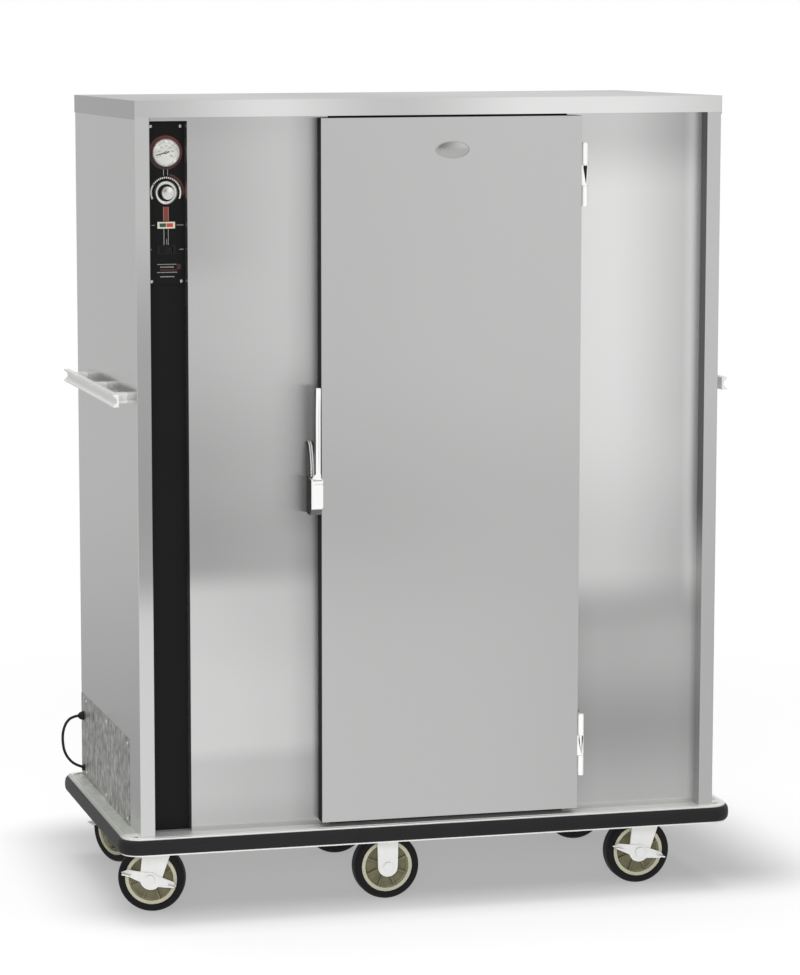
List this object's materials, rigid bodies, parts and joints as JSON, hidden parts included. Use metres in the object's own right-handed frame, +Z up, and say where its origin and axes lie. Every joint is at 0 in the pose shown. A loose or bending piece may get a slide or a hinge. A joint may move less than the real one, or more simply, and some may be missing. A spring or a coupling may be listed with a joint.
{
  "type": "heated banquet cabinet",
  "caption": "Tall insulated heated holding cabinet in stainless steel on casters, with one front door, a control column, push bars and a bumper around its base.",
  "frame": {"origin": "on the floor under the middle of the cabinet", "axes": "+X to the right as seen from the front, +Y to the back, +Z up"},
  "size_m": [1.4409, 0.75, 1.819],
  "materials": {
    "stainless": "satin",
    "galvanised": "satin",
    "liner_steel": "satin",
    "bumper_metal": "satin",
    "bumper_vinyl": "matte",
    "black_cover": "satin",
    "zinc": "gloss",
    "wheel": "matte",
    "insulation": "matte",
    "chrome": "polished",
    "handle_metal": "satin",
    "black_plastic": "satin",
    "cream_plastic": "gloss",
    "needle": "satin",
    "lens": "polished",
    "gasket": "matte",
    "lead": "satin",
    "element": "matte"
  },
  "bodies": {
    "cabinet": {"base_deck": "galvanised", "bumper_channel": "bumper_metal", "bumper_strip": "bumper_vinyl", "caster_plates": "zinc", "rigid_forks": "zinc", "side_panel_left": "stainless", "side_panel_right": "stainless", "back_panel": "stainless", "top_cap": "stainless", "front_posts": "stainless", "front_panel_left": "stainless", "front_panel_right": "stainless", "front_crosspieces": "stainless", "inner_liner": "liner_steel", "insulation": "insulation", "shelf_rails": "liner_steel", "shelves": "chrome", "heater_guard": "liner_steel", "heater_element": "element", "column_cover": "black_cover", "control_plate": "black_cover", "panel_screws": "stainless", "thermometer_case": "chrome", "thermometer_lens": "lens", "thermostat_body": "black_plastic", "indicator_lamp": "cream_plastic", "switch_housing": "black_plastic", "access_panel": "galvanised", "handle_bars": "handle_metal", "handle_brackets": "handle_metal", "lead_glands": "black_plastic", "supply_lead": "lead", "hinge_frame_leaves": "chrome", "latch_strike": "chrome"},
    "door": {"door_skin": "stainless", "door_insulation": "insulation", "door_liner": "liner_steel", "door_gasket": "gasket", "hinge_door_leaves": "chrome", "latch_body": "chrome"},
    "lever": {"latch_lever": "chrome"},
    "bolt": {"latch_bolt": "chrome"},
    "needle": {"thermometer_needle": "needle"},
    "knob": {"thermostat_knob": "black_plastic"},
    "rocker": {"switch_rocker": "black_plastic"},
    "swivel_fl": {"swivel_fork_fl": "zinc"},
    "brake_fl": {"brake_lever_fl": "zinc"},
    "roller_fl": {"wheel_fl": "wheel"},
    "swivel_fr": {"swivel_fork_fr": "zinc"},
    "brake_fr": {"brake_lever_fr": "zinc"},
    "roller_fr": {"wheel_fr": "wheel"},
    "swivel_bl": {"swivel_fork_bl": "zinc"},
    "brake_bl": {"brake_lever_bl": "zinc"},
    "roller_bl": {"wheel_bl": "wheel"},
    "swivel_br": {"swivel_fork_br": "zinc"},
    "brake_br": {"brake_lever_br": "zinc"},
    "roller_br": {"wheel_br": "wheel"},
    "roller_mf": {"wheel_mf": "wheel"},
    "roller_mb": {"wheel_mb": "wheel"}
  },
  "joints": [
    {"name": "door_swing", "type": "hinge", "parent": "cabinet", "child": "door", "pos_m": [0.352, -0.3475, 1], "axis": [0, 0, 1], "range_deg": [0, 170]},
    {"name": "lever_pull", "type": "hinge", "parent": "door", "child": "lever", "pos_m": [-0.2668, -0.362, 0.9699], "axis": [1, 0, 0], "range_deg": [0, 28], "stiffness_Nm_per_rad": 0.6},
    {"name": "bolt_slide", "type": "slide", "parent": "door", "child": "bolt", "axis": [0, 0, 1], "range_m": [0, 0.008]},
    {"name": "needle_turn", "type": "hinge", "parent": "cabinet", "child": "needle", "pos_m": [-0.588, -0.2956, 1.705], "axis": [0, 1, 0], "range_deg": [0, 240]},
    {"name": "knob_turn", "type": "hinge", "parent": "cabinet", "child": "knob", "pos_m": [-0.588, -0.301, 1.618], "axis": [0, 1, 0], "range_deg": [0, 300]},
    {"name": "rocker_tip", "type": "hinge", "parent": "cabinet", "child": "rocker", "pos_m": [-0.588, -0.287, 1.4935], "axis": [0, 0, 1], "range_deg": [0, 14]},
    {"name": "swivel_fl", "type": "hinge", "parent": "cabinet", "child": "swivel_fl", "pos_m": [-0.5735, -0.228, 0.171], "axis": [0, 0, 1], "continuous": true},
    {"name": "roll_fl", "type": "hinge", "parent": "swivel_fl", "child": "roller_fl", "pos_m": [-0.61532, -0.21278, 0.076], "axis": [0.342, 0.9397, 0], "continuous": true},
    {"name": "brake_fl", "type": "hinge", "parent": "swivel_fl", "child": "brake_fl", "pos_m": [-0.61532, -0.21278, 0.076], "axis": [0.342, 0.9397, 0], "range_deg": [-24, 0]},
    {"name": "swivel_fr", "type": "hinge", "parent": "cabinet", "child": "swivel_fr", "pos_m": [0.5735, -0.228, 0.171], "axis": [0, 0, 1], "continuous": true},
    {"name": "roll_fr", "type": "hinge", "parent": "swivel_fr", "child": "roller_fr", "pos_m": [0.529, -0.228, 0.076], "axis": [0, 1, 0], "continuous": true},
    {"name": "brake_fr", "type": "hinge", "parent": "swivel_fr", "child": "brake_fr", "pos_m": [0.529, -0.228, 0.076], "axis": [0, 1, 0], "range_deg": [-24, 0]},
    {"name": "swivel_bl", "type": "hinge", "parent": "cabinet", "child": "swivel_bl", "pos_m": [-0.5735, 0.228, 0.171], "axis": [0, 0, 1], "continuous": true},
    {"name": "roll_bl", "type": "hinge", "parent": "swivel_bl", "child": "roller_bl", "pos_m": [-0.59575, 0.26654, 0.076], "axis": [0.866, 0.5, 0], "continuous": true},
    {"name": "brake_bl", "type": "hinge", "parent": "swivel_bl", "child": "brake_bl", "pos_m": [-0.59575, 0.26654, 0.076], "axis": [0.866, 0.5, 0], "range_deg": [-24, 0]},
    {"name": "swivel_br", "type": "hinge", "parent": "cabinet", "child": "swivel_br", "pos_m": [0.5735, 0.228, 0.171], "axis": [0, 0, 1], "continuous": true},
    {"name": "roll_br", "type": "hinge", "parent": "swivel_br", "child": "roller_br", "pos_m": [0.529, 0.228, 0.076], "axis": [0, 1, 0], "continuous": true},
    {"name": "brake_br", "type": "hinge", "parent": "swivel_br", "child": "brake_br", "pos_m": [0.529, 0.228, 0.076], "axis": [0, 1, 0], "range_deg": [-24, 0]},
    {"name": "roll_mf", "type": "hinge", "parent": "cabinet", "child": "roller_mf", "pos_m": [-0.075, -0.228, 0.076], "axis": [0, 1, 0], "continuous": true},
    {"name": "roll_mb", "type": "hinge", "parent": "cabinet", "child": "roller_mb", "pos_m": [-0.075, 0.228, 0.076], "axis": [0, 1, 0], "continuous": true}
  ],
  "couplings": [
    {"joint": "bolt_slide", "follows": "lever_pull", "m_per_rad": 0.01637}
  ]
}
